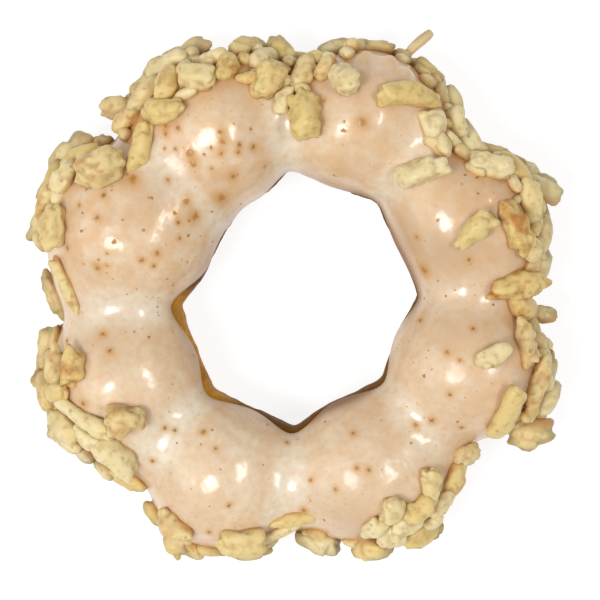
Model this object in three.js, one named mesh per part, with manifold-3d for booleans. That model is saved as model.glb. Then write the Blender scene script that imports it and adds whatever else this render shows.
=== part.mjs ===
// A mochi doughnut: a fried ring of eight joined dough balls, dipped in icing, with crisped rice round
// its rim. Millimetres and degrees, +Z up. The origin is under the middle of the whole, on the surface
// that it rests on.
import * as THREE from "three";
import { mergeVertices } from "three/addons/utils/BufferGeometryUtils.js";
import Module from "manifold-3d";

const wasm = await Module();
wasm.setup();

// Driving dimensions of the ring. Balls and the creases between them alternate, anticlockwise from +X, each
// at an angle in the hole and another outside, since the creases slant. inner and outer are the ring's radii
// over the icing, crest is the height of its top, rice is how far up the section the drawn grains reach, and
// bare is how far the icing stops short of the hole's widest level.
const RING_CENTRE = new THREE.Vector2(0.95, -0.45);
const BALL_BASE = -1.0; // a ball's lowest point before it is flattened at z = 0
const CREASE_BASE = 2.2;
const STATIONS = [
  { angle: 27.5, outside: 26, inner: 18.2, outer: 42.4, crest: 23.2, rice: 40, bare: 4 },
  { angle: 52, outside: 42, inner: 20.2, outer: 37.6, crest: 20.2, rice: 50, bare: 14 },
  { angle: 73, outside: 70, inner: 19.4, outer: 43.4, crest: 23.2, rice: 8, bare: 4 },
  { angle: 94, outside: 89, inner: 21.4, outer: 39.0, crest: 19.8, rice: 60, bare: 4 },
  { angle: 114, outside: 116, inner: 18.0, outer: 44.2, crest: 24.2, rice: 58, bare: 3 },
  { angle: 134, outside: 139, inner: 16.8, outer: 40.6, crest: 22.6, rice: 44, bare: 4 },
  { angle: 158.5, outside: 156, inner: 16.0, outer: 44.6, crest: 24.8, rice: 30, bare: 4 },
  { angle: 183, outside: 184, inner: 19.5, outer: 39.6, crest: 20.2, rice: -20, bare: 28 },
  { angle: 204.5, outside: 205, inner: 19.0, outer: 44.6, crest: 23.4, rice: 36, bare: 6 },
  { angle: 226, outside: 230, inner: 20.4, outer: 40.6, crest: 20.4, rice: -30, bare: 24 },
  { angle: 246.5, outside: 245, inner: 19.6, outer: 44.6, crest: 23.4, rice: 16, bare: 4 },
  { angle: 267, outside: 271, inner: 20.8, outer: 38.4, crest: 20.0, rice: 20, bare: 22 },
  { angle: 291.5, outside: 296, inner: 17.6, outer: 43.4, crest: 23.8, rice: 34, bare: 4 },
  { angle: 316, outside: 320, inner: 18.4, outer: 37.4, crest: 20.2, rice: -60, bare: 20 },
  { angle: 339.5, outside: 339, inner: 16.8, outer: 43.0, crest: 24.0, rice: 30, bare: 4 },
  { angle: 363, outside: 358, inner: 19.3, outer: 36.8, crest: 20.2, rice: 30, bare: 10 },
].map((station, index) => ({ ...station, base: index % 2 ? CREASE_BASE : BALL_BASE }));
const OUTSIDE_KEYS = ["outer", "rice"]; // values that belong to the angle outside
const WAIST = 10.8; // height of the ring's widest level
const UPPER_POWER = 2.1; // superellipse powers of the section above and below the waist
const LOWER_POWER = 2.5;
const DOUGH_CREASE = 0.07; // softness of a crease, as a share of half a ball's length
const ICING_CREASE = 0.2;
const CREST_CREASE = 0.4; // the same over the top, where the icing fills it
const EDGE_CREASE = 0.35; // and of the waves in the icing's edge

const ICING_DEPTH = 1.5; // from the iced surface down to the dough
const SHOULDER = 1.25; // how far the bare dough stands out from the covered dough
const SHOULDER_FROM = 4; // section angles past the icing's edge between which it comes out
const SHOULDER_TO = 20;
const GAP = 0.6; // between the icing and the dough, part of which their facets take up
const RIM_LEVEL = -24; // section angle of the icing's lower edge on the outside
const RIM_WAVE = 4; // and how far that edge waves up and down
const RIM_WAVES = 5;

// Crisped rice
const GRAIN_FROM = -11; // section angle of the lowest grains
const GRAIN_LONG = 7.4;
const GRAIN_SHORT = 4.8;
const GRAIN_SLIM = 0.46; // width over length of the slimmest grain
const GRAIN_STUBBY = 0.6; // and of the stubbiest
const GRAIN_DEPTH = 0.95; // depth over width
const GRAIN_SINK = 0.65; // how deep a grain's lowest point lies in the icing
const GRAIN_STAND = 1.0; // how high a lying grain's middle stands over the icing
const GRAIN_SPACING = 4.4; // least distance between the middles of two grains
const GRAIN_TRIES = 1500;
const GRAIN_LIFT = 24; // steepest lift of a grain's end, in degrees
const RIM_GAPS = [107.5, 140, 171, 256, 267.5, 279, 291, 306]; // angles that drawn grains skip
const RIM_GAP = 4; // and how far to either side
const CHANCE_GRAIN = 127.1; // steps of the repeatable draws
const CHANCE_QUALITY = 311.7;
const CHANCE_SCALE = 43758.5453;
const PLASTIC_NUMBER = 1.324717957244746; // its inverse powers are the steps of an even spread over an area
// The eye that looks down on the ring, by which marked places are given
const EYE_DISTANCE = 450; // from the middle of the ring's waist
const EYE_LEAN = 5; // from straight overhead
const EYE_BEARING = 50; // side that it leans to, from +X
const SIGHT_STEPS = 16; // steps in which a sight line is followed down to the icing
// Grains that stand out: where the middle shows (x and y), turn from +X, lift off the surface, length and
// width
const MARKED_GRAINS = [
  // on the ball at 73
  [7.1, 41.8, 15, 4, 5.7, 3.3],
  [13.6, 42.3, -3, 4, 7.7, 2.5],
  [19.6, 41.7, 52, 72, 6.6, 1.6],
  [5.6, 38.5, 80, 8, 3.7, 3.0],
  [8.6, 36.2, -55, 6, 6.0, 4.3],
  [2.6, 30.5, -75, 10, 8.0, 5.0],
  [18.4, 33.8, 8, 4, 10.3, 3.8],
  [22.4, 38.2, -45, 4, 5.0, 3.3],
  [26.4, 33.3, -60, 4, 4.7, 3.3],
  [26.8, 29.8, 80, 6, 4.7, 3.3],
  [22.8, 29.2, -70, 6, 4.7, 3.7],
  [24.2, 25.7, -55, 14, 5.0, 3.3],
  [29.1, 25.5, -30, 4, 5.3, 3.7],
  [21.9, 20.8, 14, 6, 7.7, 4.0],
  // on the ball at 27.5
  [35.6, 23.8, -35, 4, 7.7, 3.0],
  [33.4, 21.5, -8, 6, 7.4, 3.8],
  [42.2, 18.5, 20, 45, 6.0, 4.0],
  [39.4, 16.5, 88, 8, 6.7, 3.3],
  [42.1, 12.8, 84, 4, 6.7, 2.5],
  [30.2, 11.5, 42, 8, 7.4, 3.6],
  [37.2, 11.3, -56, 6, 8.6, 3.7],
  [39.2, 8.5, -25, 10, 5.3, 3.2],
  [40.9, 5.7, 60, 6, 4.0, 3.0],
  [36.8, 2.2, -4, 6, 8.7, 4.5],
  // on the ball at 114
  [-29.0, 32.8, 172, 62, 6.6, 3.6],
  [-25.6, 35.7, 12, 4, 5.3, 3.2],
  [-22.8, 38.3, 40, 8, 4.3, 3.7],
  [-18.6, 40.7, 18, 4, 7.7, 3.3],
  [-27.4, 30.5, 10, 6, 6.0, 3.0],
  [-21.4, 31.3, 0, 6, 6.7, 4.0],
  [-25.6, 25.2, 74, 8, 8.0, 3.0],
  [-14.8, 39.8, 4, 6, 5.7, 2.8],
  [-16.4, 36.5, -20, 8, 6.0, 4.3],
  [-11.6, 38.3, 80, 6, 5.2, 3.0],
  [-9.1, 41.7, 70, 4, 4.7, 3.3],
  [-6.1, 41.7, 88, 4, 5.0, 3.0],
  [-2.4, 40.5, 80, 20, 6.0, 4.0],
  [-5.1, 35.8, 60, 8, 6.7, 5.0],
  [-1.8, 33.0, 75, 8, 5.3, 3.0],
  [1.6, 37.5, 85, 6, 5.7, 3.3],
  // on the ball at 158.5
  [-38.5, 23.5, 42, 14, 7.4, 4.7],
  [-33.1, 25.2, -5, 4, 4.7, 3.0],
  [-31.9, 21.0, 12, 3, 7.7, 5.7],
  [-38.6, 19.3, 25, 8, 5.7, 3.7],
  [-41.4, 15.5, 55, 4, 5.7, 3.3],
  [-42.6, 13.2, 245, 18, 7.6, 3.0],
  [-39.8, 12.0, 86, 6, 6.8, 4.3],
  [-38.6, 2.2, 103, 4, 9.7, 2.2],
  [-40.6, 1.0, 101, 4, 8.3, 3.0],
  // on the ball at 204.5
  [-42.1, -9.2, 88, 4, 7.0, 3.8],
  [-39.9, -11.3, 88, 6, 6.0, 3.0],
  [-37.2, -12.2, 80, 6, 6.7, 3.7],
  [-42.9, -15.0, 160, 55, 4.7, 3.3],
  [-39.4, -16.0, 10, 8, 5.0, 3.3],
  [-40.6, -19.0, -15, 6, 4.7, 3.0],
  [-35.1, -20.3, -20, 5, 9.7, 3.0],
  [-28.8, -19.8, 30, 4, 5.7, 5.0],
  [-39.9, -23.0, 168, 45, 5.0, 3.9],
  [-34.8, -23.3, -32, 10, 5.3, 3.0],
  [-30.2, -26.0, -52, 6, 8.0, 4.3],
  [-36.2, -25.8, -12, 6, 4.7, 2.7],
  [-28.1, -30.2, -38, 6, 6.3, 3.0],
  // on the ball at 246.5
  [-23.2, -37.2, -60, 6, 4.0, 3.0],
  [-19.8, -38.5, -40, 6, 6.7, 3.5],
  [-20.4, -41.7, -12, 30, 5.6, 3.4],
  [-17.2, -42.3, -22, 8, 5.0, 3.0],
  [-13.1, -42.8, 0, 6, 3.7, 2.2],
  [-9.2, -40.5, -8, 6, 7.3, 4.7],
  [-7.4, -42.7, 4, 6, 6.3, 2.8],
  [-3.1, -39.8, 32, 6, 6.0, 2.3],
  [-0.8, -37.7, 8, 3, 7.7, 2.2],
  // on the ball at 291.5
  [4.6, -40.2, -8, 6, 6.3, 4.3],
  [12.6, -41.7, 76, 14, 6.0, 3.7],
  [15.9, -40.0, 60, 8, 5.0, 3.7],
  [16.1, -35.8, 80, 6, 4.7, 3.8],
  [20.1, -35.7, 20, 6, 5.0, 3.7],
  [22.4, -31.3, 108, 8, 6.0, 3.3],
  [26.6, -31.2, 75, 6, 6.0, 3.0],
  [28.4, -26.7, 8, 8, 5.0, 3.3],
  [24.6, -34.5, 28, 8, 5.0, 3.0],
  [21.8, -39.8, 4, 6, 7.0, 3.3],
  [18.3, -38.0, 20, 6, 5.0, 3.8],
  [13.6, -38.6, 60, 8, 4.6, 3.4],
  // on the ball at 339.5
  [41.9, -4.0, -45, 60, 6.0, 3.2],
  [39.6, -2.0, -42, 6, 5.3, 2.7],
  [38.9, -8.2, 85, 6, 7.0, 3.2],
  [41.2, -7.8, 82, 4, 6.7, 2.5],
  [32.9, -10.0, 25, 10, 5.3, 3.7],
  [35.4, -19.0, 87, 6, 10.0, 3.5],
  [40.6, -15.2, 80, 6, 9.3, 2.8],
  [42.8, -13.0, 80, 4, 8.3, 2.5],
  [40.8, -22.5, -20, 42, 7.6, 4.6],
];

// Looks
const DOUGH_COLOUR = "#b0762f";
const DOUGH_ROUGHNESS = 0.7;
const ICING_COLOUR = "#e4c49c";
const ICING_ROUGHNESS = 0.25;

// Mesh resolution
const STEPS_BETWEEN_STATIONS = 5;
const DOUGH_SECTION_STEPS = 16;
const ICING_OVER_STEPS = 10;
const ICING_UNDER_STEPS = 9;
const GRAIN_SIDES = 5;
const GRAIN_RINGS = 3;
const GRAIN_GIRTH = 1.2; // widens a faceted grain to the girth of a round one
const WELD = 1e-4; // vertices closer than this are one
const SLIVER = 0.02; // edges shorter than this, left where pieces cross, are closed up

const FULL_TURN = 360;
const HALF_TURN = 180;
const PROBE = 0.5; // degrees to either side over which the surface's directions are taken
const rad = THREE.MathUtils.degToRad;

/** Rise of a ball above its crease: 0 in the crease and 1 at the ball's middle. soft rounds the crease. */
function swell(share, soft) {
  const rounded = (s) => Math.sqrt(s * s + soft * soft) - soft;
  const eased = rounded(share) / rounded(1);
  return 1 - (1 - eased) ** 2;
}

/** A station's value carried round the ring, swelling from each crease to each ball. */
function around(key, angle, soft) {
  const where = OUTSIDE_KEYS.includes(key) ? "outside" : "angle";
  const first = STATIONS[0][where];
  const turned = first + THREE.MathUtils.euclideanModulo(angle - first, FULL_TURN);
  const index = STATIONS.findLastIndex((s) => s[where] <= turned);
  const from = STATIONS[index];
  const to = STATIONS[(index + 1) % STATIONS.length];
  const span = THREE.MathUtils.euclideanModulo(to[where] - from[where], FULL_TURN);
  const share = (turned - from[where]) / span;
  const [ball, crease, u] = index % 2 ? [to, from, share] : [from, to, 1 - share];
  return crease[key] + (ball[key] - crease[key]) * swell(u, soft);
}

/** Power that keeps its value's sign. */
const signedPower = (value, exponent) => Math.sign(value) * Math.abs(value) ** exponent;

/** Point of the surface that lies offset outside the iced one: angle round the ring, level round the section
 *  (0 at the outside, 90 on top, 180 in the hole). Nothing reaches below the surface that it rests on. */
function surfacePoint(angle, level, offset, soft) {
  const inner = around("inner", angle, soft);
  const outer = around("outer", angle, soft);
  const upper = Math.sin(rad(level)) >= 0;
  const exponent = 2 / (upper ? UPPER_POWER : LOWER_POWER);
  const acrossShare = signedPower(Math.cos(rad(level)), exponent);
  const upShare = signedPower(Math.sin(rad(level)), exponent);
  const crest = around("crest", angle, CREST_CREASE);
  const reach = upper ? crest + offset - WAIST : WAIST - around("base", angle, soft);
  const radius = (inner + outer) / 2 + ((outer - inner) / 2 + offset) * acrossShare;
  return new THREE.Vector3(
    RING_CENTRE.x + radius * Math.cos(rad(angle)),
    RING_CENTRE.y + radius * Math.sin(rad(angle)),
    Math.max(0, WAIST + reach * upShare),
  );
}

const icedPoint = (angle, level) => surfacePoint(angle, level, 0, ICING_CREASE);

/** Angles round the ring, with a row on every ball's middle and every crease. */
const ROWS = STATIONS.flatMap((station, index) => {
  const next = STATIONS[(index + 1) % STATIONS.length];
  const span = THREE.MathUtils.euclideanModulo(next.angle - station.angle, FULL_TURN);
  return Array.from(
    { length: STEPS_BETWEEN_STATIONS },
    (_, step) => station.angle + (span * step) / STEPS_BETWEEN_STATIONS,
  );
});

/** Closed ring whose section at each row is a loop of points, listed from the outside over the top.
 *  Each of its quads is split along the shorter diagonal. */
function ringGeometry(sectionAt) {
  const loops = ROWS.map(sectionAt);
  const columns = loops[0].length;
  const points = loops.flat();
  const at = (row, column) => (row % loops.length) * columns + (column % columns);
  const index = [];
  for (let row = 0; row < loops.length; row++)
    for (let column = 0; column < columns; column++) {
      const [a, b] = [at(row, column), at(row + 1, column)];
      const [c, d] = [at(row + 1, column + 1), at(row, column + 1)];
      if (points[a].distanceTo(points[c]) < points[b].distanceTo(points[d])) index.push(a, b, c, a, c, d);
      else index.push(a, b, d, b, c, d);
    }
  return new THREE.BufferGeometry().setFromPoints(points).setIndex(index);
}

/** Levels of the icing's edges: its rim on the outside, and where it stops in the hole. */
const rimLevel = (angle) => RIM_LEVEL + RIM_WAVE * Math.sin(rad(RIM_WAVES * angle));
const holeLevel = (angle) => HALF_TURN - around("bare", angle, EDGE_CREASE);

/** The dough's section, which lies an icing's depth inside the iced surface and stands out where it is bare.
 *  Its levels run from under the ring, over the outside and the top, to under the ring again. */
const doughSection = (angle) =>
  Array.from({ length: DOUGH_SECTION_STEPS }, (_, step) => {
    const level = (FULL_TURN * (step + 0.5)) / DOUGH_SECTION_STEPS - HALF_TURN / 2;
    const past = Math.max(level - holeLevel(angle), rimLevel(angle) - level);
    const out = SHOULDER * THREE.MathUtils.smoothstep(past, SHOULDER_FROM, SHOULDER_TO);
    return surfacePoint(angle, level, out - ICING_DEPTH, DOUGH_CREASE);
  });

/** The icing's section: over its outside, rounded off at both edges, and back along the covered dough. */
function icingSection(angle) {
  const levelAt = (share) => THREE.MathUtils.lerp(rimLevel(angle), holeLevel(angle), share);
  const over = Array.from({ length: ICING_OVER_STEPS + 1 }, (_, step) => {
    const edge = step === 0 || step === ICING_OVER_STEPS;
    return surfacePoint(angle, levelAt(step / ICING_OVER_STEPS), edge ? -ICING_DEPTH / 2 : 0, ICING_CREASE);
  });
  const under = Array.from({ length: ICING_UNDER_STEPS + 1 }, (_, step) =>
    surfacePoint(angle, levelAt(1 - step / ICING_UNDER_STEPS), GAP - ICING_DEPTH, DOUGH_CREASE),
  );
  return [...over, ...under];
}

/** Level of a lying grain whose middle shows from above at a distance from the ring's centre. */
function levelAtRadius(angle, radius) {
  const inner = around("inner", angle, ICING_CREASE) - GRAIN_STAND;
  const outer = around("outer", angle, ICING_CREASE) + GRAIN_STAND;
  const share = THREE.MathUtils.clamp((2 * radius - inner - outer) / (outer - inner), -1, 1);
  return THREE.MathUtils.radToDeg(Math.acos(signedPower(share, UPPER_POWER / 2)));
}

/** Directions of the eye's view: back to the eye, to the right and up the picture. */
const EYE_BACK = new THREE.Vector3(
  Math.sin(rad(EYE_LEAN)) * Math.cos(rad(EYE_BEARING)),
  Math.sin(rad(EYE_LEAN)) * Math.sin(rad(EYE_BEARING)),
  Math.cos(rad(EYE_LEAN)),
);
const EYE_RIGHT = new THREE.Vector3(0, 1, 0).cross(EYE_BACK).normalize();
const EYE_OVER = EYE_BACK.clone().cross(EYE_RIGHT);

/** Place, from the middle of the ring's waist, where the sight line of what shows at x and y has a height. */
function sightAt(x, y, height) {
  const eye = EYE_BACK.clone().multiplyScalar(EYE_DISTANCE);
  const shown = EYE_RIGHT.clone()
    .multiplyScalar(x - RING_CENTRE.x)
    .addScaledVector(EYE_OVER, y - RING_CENTRE.y);
  return eye.clone().lerp(shown, (height - eye.z) / (shown.z - eye.z));
}

/** Angle and level of a lying grain whose middle shows at x and y. Each step goes half of the way to the
 *  height of the surface there, because that height falls off steeply at the rim. */
function whereShown(x, y) {
  let height = 0;
  let where;
  for (let step = 0; step < SIGHT_STEPS; step++) {
    const sight = sightAt(x, y, height);
    const angle = THREE.MathUtils.radToDeg(Math.atan2(sight.y, sight.x));
    where = { angle, level: levelAtRadius(angle, Math.hypot(sight.x, sight.y)) };
    const top = surfacePoint(where.angle, where.level, GRAIN_STAND, ICING_CREASE).z;
    height = (height + top - WAIST) / 2;
  }
  return where;
}

/** Repeatable number from 0 to 1 for a grain and a quality of it: the fraction of a fast sine. */
function chance(grain, quality) {
  const value = Math.sin(grain * CHANCE_GRAIN + quality * CHANCE_QUALITY) * CHANCE_SCALE;
  return value - Math.floor(value);
}

/** Frame on the iced surface: where, outwards, and along the ring. */
function surfaceFrame(angle, level) {
  const alongRing = icedPoint(angle + PROBE, level).sub(icedPoint(angle - PROBE, level)).normalize();
  const overTop = icedPoint(angle, level + PROBE).sub(icedPoint(angle, level - PROBE)).normalize();
  const outwards = alongRing.clone().cross(overTop).normalize();
  return { place: icedPoint(angle, level), outwards, alongRing };
}

/** Grain seated on the icing: its long axis lies on the surface and is lifted at one end. */
function seatGrain({ place, outwards, long, lift, length, width }) {
  const side = outwards.clone().cross(long);
  const lifted = long.clone().applyAxisAngle(side, -rad(lift));
  const up = lifted.clone().cross(side);
  const depth = width * GRAIN_DEPTH;
  const reach = Math.hypot(length * Math.sin(rad(lift)), depth * Math.cos(rad(lift))) / 2;
  const middle = place.clone().addScaledVector(outwards, reach - GRAIN_SINK);
  return { middle, long: lifted, side, up, length, width, depth };
}

/** Grain that shows where and how it is marked. */
function markedGrain([x, y, turn, lift, length, width]) {
  const { angle, level } = whereShown(x, y);
  const { place, outwards } = surfaceFrame(angle, level);
  const long = new THREE.Vector3(Math.cos(rad(turn)), Math.sin(rad(turn)), 0).projectOnPlane(outwards);
  return seatGrain({ place, outwards, long: long.normalize(), lift, length, width });
}

/** Grain of a repeatable draw: its place on the surface is given, and its turn, lift and width are drawn. */
function drawnGrain(attempt, angle, level) {
  const { place, outwards, alongRing } = surfaceFrame(angle, level);
  const length = THREE.MathUtils.lerp(GRAIN_LONG, GRAIN_SHORT, attempt / GRAIN_TRIES);
  return seatGrain({
    place,
    outwards,
    long: alongRing.applyAxisAngle(outwards, rad(HALF_TURN * chance(attempt, 1))),
    lift: GRAIN_LIFT * chance(attempt, 2) ** 2,
    length,
    width: length * THREE.MathUtils.lerp(GRAIN_SLIM, GRAIN_STUBBY, chance(attempt, 3)),
  });
}

/** All grains: the marked ones, then the largest first, spread evenly over the band that they cover. */
function riceGrains() {
  const grains = MARKED_GRAINS.map(markedGrain);
  const highest = Math.max(...STATIONS.map((station) => station.rice));
  for (let attempt = 0; attempt < GRAIN_TRIES; attempt++) {
    const angle = FULL_TURN * ((0.5 + attempt / PLASTIC_NUMBER) % 1);
    const level = THREE.MathUtils.lerp(GRAIN_FROM, highest, (0.5 + attempt / PLASTIC_NUMBER ** 2) % 1);
    const inGap = RIM_GAPS.some((gap) => Math.abs(angle - gap) < RIM_GAP);
    if (inGap || level > around("rice", angle, ICING_CREASE)) continue;
    const grain = drawnGrain(attempt, angle, level);
    if (grains.every((other) => other.middle.distanceTo(grain.middle) > GRAIN_SPACING)) grains.push(grain);
  }
  return grains;
}

/** A grain as a closed faceted spindle. */
function grainGeometry({ middle, long, side, up, length, width, depth }) {
  const geometry = new THREE.SphereGeometry(1, GRAIN_SIDES, GRAIN_RINGS);
  const axes = new THREE.Matrix4().makeBasis(
    up.clone().multiplyScalar((GRAIN_GIRTH * depth) / 2),
    long.clone().multiplyScalar(length / 2),
    side.clone().multiplyScalar((GRAIN_GIRTH * width) / 2),
  );
  return geometry.applyMatrix4(axes.setPosition(middle));
}

/** Closed solid of a geometry, with its shared vertices merged. */
function solidOf(geometry) {
  const bare = geometry.clone();
  bare.deleteAttribute("normal");
  bare.deleteAttribute("uv");
  const merged = mergeVertices(bare, WELD);
  const mesh = new wasm.Mesh({
    numProp: 3,
    vertProperties: new Float32Array(merged.attributes.position.array),
    triVerts: new Uint32Array(merged.index.array),
  });
  return new wasm.Manifold(mesh);
}

/** Geometry of a solid. */
function geometryOf(solid) {
  const mesh = solid.getMesh();
  return new THREE.BufferGeometry()
    .setAttribute("position", new THREE.BufferAttribute(mesh.vertProperties, 3))
    .setIndex(new THREE.BufferAttribute(mesh.triVerts, 1));
}

/** The icing with its grains fused on. Its largest body has no sealed hollow or scrap. */
function icingGeometry() {
  const grains = riceGrains().map((grain) => solidOf(grainGeometry(grain)));
  const coat = solidOf(ringGeometry(icingSection));
  const joined = grains.reduce((whole, grain) => whole.add(grain), coat);
  const bodies = joined.simplify(SLIVER).decompose().sort((a, b) => b.volume() - a.volume());
  return geometryOf(bodies[0]);
}

/** Named piece with its own material. */
function piece(name, geometry, color, roughness) {
  geometry.computeVertexNormals();
  const material = new THREE.MeshStandardMaterial({ color, roughness, metalness: 0 });
  const mesh = new THREE.Mesh(geometry, material);
  mesh.name = name;
  return mesh;
}

const doughnut = new THREE.Group();
doughnut.add(
  piece("dough", ringGeometry(doughSection), DOUGH_COLOUR, DOUGH_ROUGHNESS),
  piece("icing", icingGeometry(), ICING_COLOUR, ICING_ROUGHNESS),
);

export default doughnut;
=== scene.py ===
import math

import bpy
import numpy as np
from bpy.props import FloatProperty, FloatVectorProperty, IntProperty, PointerProperty
from mathutils import Matrix


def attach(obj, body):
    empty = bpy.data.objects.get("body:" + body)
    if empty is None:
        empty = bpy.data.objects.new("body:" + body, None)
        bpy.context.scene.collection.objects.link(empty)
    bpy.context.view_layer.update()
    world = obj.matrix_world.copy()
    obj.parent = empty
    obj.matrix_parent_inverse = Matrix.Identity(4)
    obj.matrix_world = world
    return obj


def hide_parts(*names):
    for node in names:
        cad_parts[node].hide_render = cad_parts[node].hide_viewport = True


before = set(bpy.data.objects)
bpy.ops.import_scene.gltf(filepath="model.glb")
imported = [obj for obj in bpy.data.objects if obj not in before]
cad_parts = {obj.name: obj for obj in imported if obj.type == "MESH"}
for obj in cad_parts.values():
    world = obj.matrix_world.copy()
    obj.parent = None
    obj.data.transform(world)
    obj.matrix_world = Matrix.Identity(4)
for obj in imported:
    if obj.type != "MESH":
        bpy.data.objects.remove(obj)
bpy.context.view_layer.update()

bl_info = {
    "name": "Mochi Doughnut",
    "version": (1, 0, 0),
    "blender": (4, 5, 0),
    "location": "View3D > Sidebar > Doughnut",
    "description": "Builds an iced ring of eight fried dough balls with crisped rice round its rim",
    "category": "Add Mesh",
}

# Sizes below are in millimetres and degrees, and a mesh is made in metres
MM = 0.001

# The ring. Balls and the creases between them alternate, anticlockwise from +X, each at an angle in the
# hole and another outside, since the creases slant. inner and outer are the ring's radii over the icing,
# crest is the height of its top, rice is how far up the section the drawn grains reach, bare is how far the
# icing stops short of the hole's widest level, and the last is how much shade is painted on the icing
# there, darkening it towards its edge in the hole.
RING_CENTRE = np.array([0.95, -0.45])
BALL_BASE = -1.0
CREASE_BASE = 2.2
STATION_KEYS = ("angle", "outside", "inner", "outer", "crest", "rice", "bare", "hole_shade")
OUTSIDE_KEYS = ("outer", "rice")
STATION_ROWS = np.array([
    (27.5, 26, 18.2, 42.4, 23.2, 40, 4, 0.75),
    (52, 42, 20.2, 37.6, 20.2, 50, 14, 0.95),
    (73, 70, 19.4, 43.4, 23.2, 8, 4, 0.4),
    (94, 89, 21.4, 39.0, 19.8, 60, 4, 0.05),
    (114, 116, 18.0, 44.2, 24.2, 58, 3, 0.05),
    (134, 139, 16.8, 40.6, 22.6, 44, 4, 0.15),
    (158.5, 156, 16.0, 44.6, 24.8, 30, 4, 0.35),
    (183, 184, 19.5, 39.6, 20.2, -20, 28, 0.4),
    (204.5, 205, 19.0, 44.6, 23.4, 36, 6, 0.35),
    (226, 230, 20.4, 40.6, 20.4, -30, 24, 0.35),
    (246.5, 245, 19.6, 44.6, 23.4, 16, 4, 0.15),
    (267, 271, 20.8, 38.4, 20.0, 20, 22, 0.6),
    (291.5, 296, 17.6, 43.4, 23.8, 34, 4, 0.8),
    (316, 320, 18.4, 37.4, 20.2, -60, 20, 0.8),
    (339.5, 339, 16.8, 43.0, 24.0, 30, 4, 0.05),
    (363, 358, 19.3, 36.8, 20.2, 30, 10, 0.85),
])
STATIONS = dict(zip(STATION_KEYS, STATION_ROWS.T))
STATIONS["base"] = np.where(np.arange(len(STATION_ROWS)) % 2, CREASE_BASE, BALL_BASE)
STATIONS["ball"] = np.where(np.arange(len(STATION_ROWS)) % 2, 0.0, 1.0)
WAIST = 10.8
UPPER_POWER = 2.1
LOWER_POWER = 2.5
DOUGH_CREASE = 0.07
ICING_CREASE = 0.2
CREST_CREASE = 0.4
EDGE_CREASE = 0.35

# Dough: size, share and seed of its blisters' noises and the heights they fade in over, the angles where
# its hole side is painted golden as light and where that ends, and the heights that painted light rises
# over (the rest of the hole side is painted dark as shade), and the pale band round its waist
BLISTERS = ((2.6, 1.0, 1), (1.1, 0.6, 2))
BLISTERS_RISE = (0.2, 3.0)
LIT_WALL_STARTS = (170, 181)
LIT_WALL_ENDS = (248, 228)
LIT_WALL_RISES = (3, 8)
PALE_BAND_HEIGHT = 7.5
PALE_BAND_WIDTH = 1.8

# Icing: its depth, how near to its surface bare dough comes, its wavy rim, and how far its back and edges
# reach into the dough
ICING_DEPTH = 1.5
SHOULDER = 1.25
SHOULDER_LEVELS = (-12, 8)
RIM_LEVEL = -24
RIM_WAVE = 4
RIM_WAVES = 5
ICING_TUCK = 0.4
ICING_BACK_POINTS = 16
# How the icing has set and run: size, share and seed of its swells' noises, the levels over which it pools,
# the levels over which shade is painted on it in the hole and down the flank, how far above the rice it
# turns warm and is painted with shade between the grains, the angles and levels of the warm light painted
# on it off the golden hole side, and where along Y it is painted paler as light and along X darker as shade
SWELLS = ((8.0, 1.0, 3), (3.6, 0.8, 4), (1.9, 0.25, 9))
POOL_LEVELS = (30, 70)
HOLE_SHADE_LEVELS = (143, 165)
SHADED_FLANK_LEVELS = (24, 0)
WARM_RICE = (26, -4)
SHADED_AMONG_RICE = (4, -12)
GLOW_STARTS = (165, 180)
GLOW_ENDS = (285, 265)
GLOW_LEVELS = (134, 156)
LIT_LOWER_SIDE = (12, -28)
SHADED_RIGHT_SIDE = (0, 40)

# Crisped rice
GRAIN_FROM = -11
GRAIN_LONG = 7.4
GRAIN_SHORT = 4.8
GRAIN_SLIM = 0.46
GRAIN_STUBBY = 0.6
GRAIN_DEPTH = 0.95
GRAIN_SINK = 0.65
GRAIN_STAND = 1.0
GRAIN_SPACING = 4.4
GRAIN_TRIES = 1500
GRAIN_LIFT = 24
RIM_GAPS = np.array([107.5, 140, 171, 256, 267.5, 279, 291, 306])
RIM_GAP = 4
CHANCE_GRAIN = 127.1
CHANCE_QUALITY = 311.7
CHANCE_SCALE = 43758.5453
PLASTIC_NUMBER = 1.324717957244746
FILLER_LONG = 4.8
FILLER_SHORT = 3.0
FILLER_SPACING = 2.3
FILLER_ABOVE = 3
FILLER_LUMP = 0.6
# Shape of a grain: how blunt its ends are, the sizes of its bulges and of its lean to a side, its bend and
# taper at most, and how far apart grains lie in the noise that shapes them
GRAIN_BLUNT = 0.9
GRAIN_ROUND = 0.72
PUFF_BROAD = 2.4
PUFF_FINE = 1.3
PUFF_FINE_SHARE = 0.38
PUFF_LEAN = 3.4
GRAIN_BEND = 0.35
GRAIN_TAPER = 0.2
GRAIN_APART = 37.0
# The eye that looks down on the ring, by which marked places are given
EYE_DISTANCE = 450
EYE_LEAN = 5
EYE_BEARING = 50
SIGHT_STEPS = 16
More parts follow.
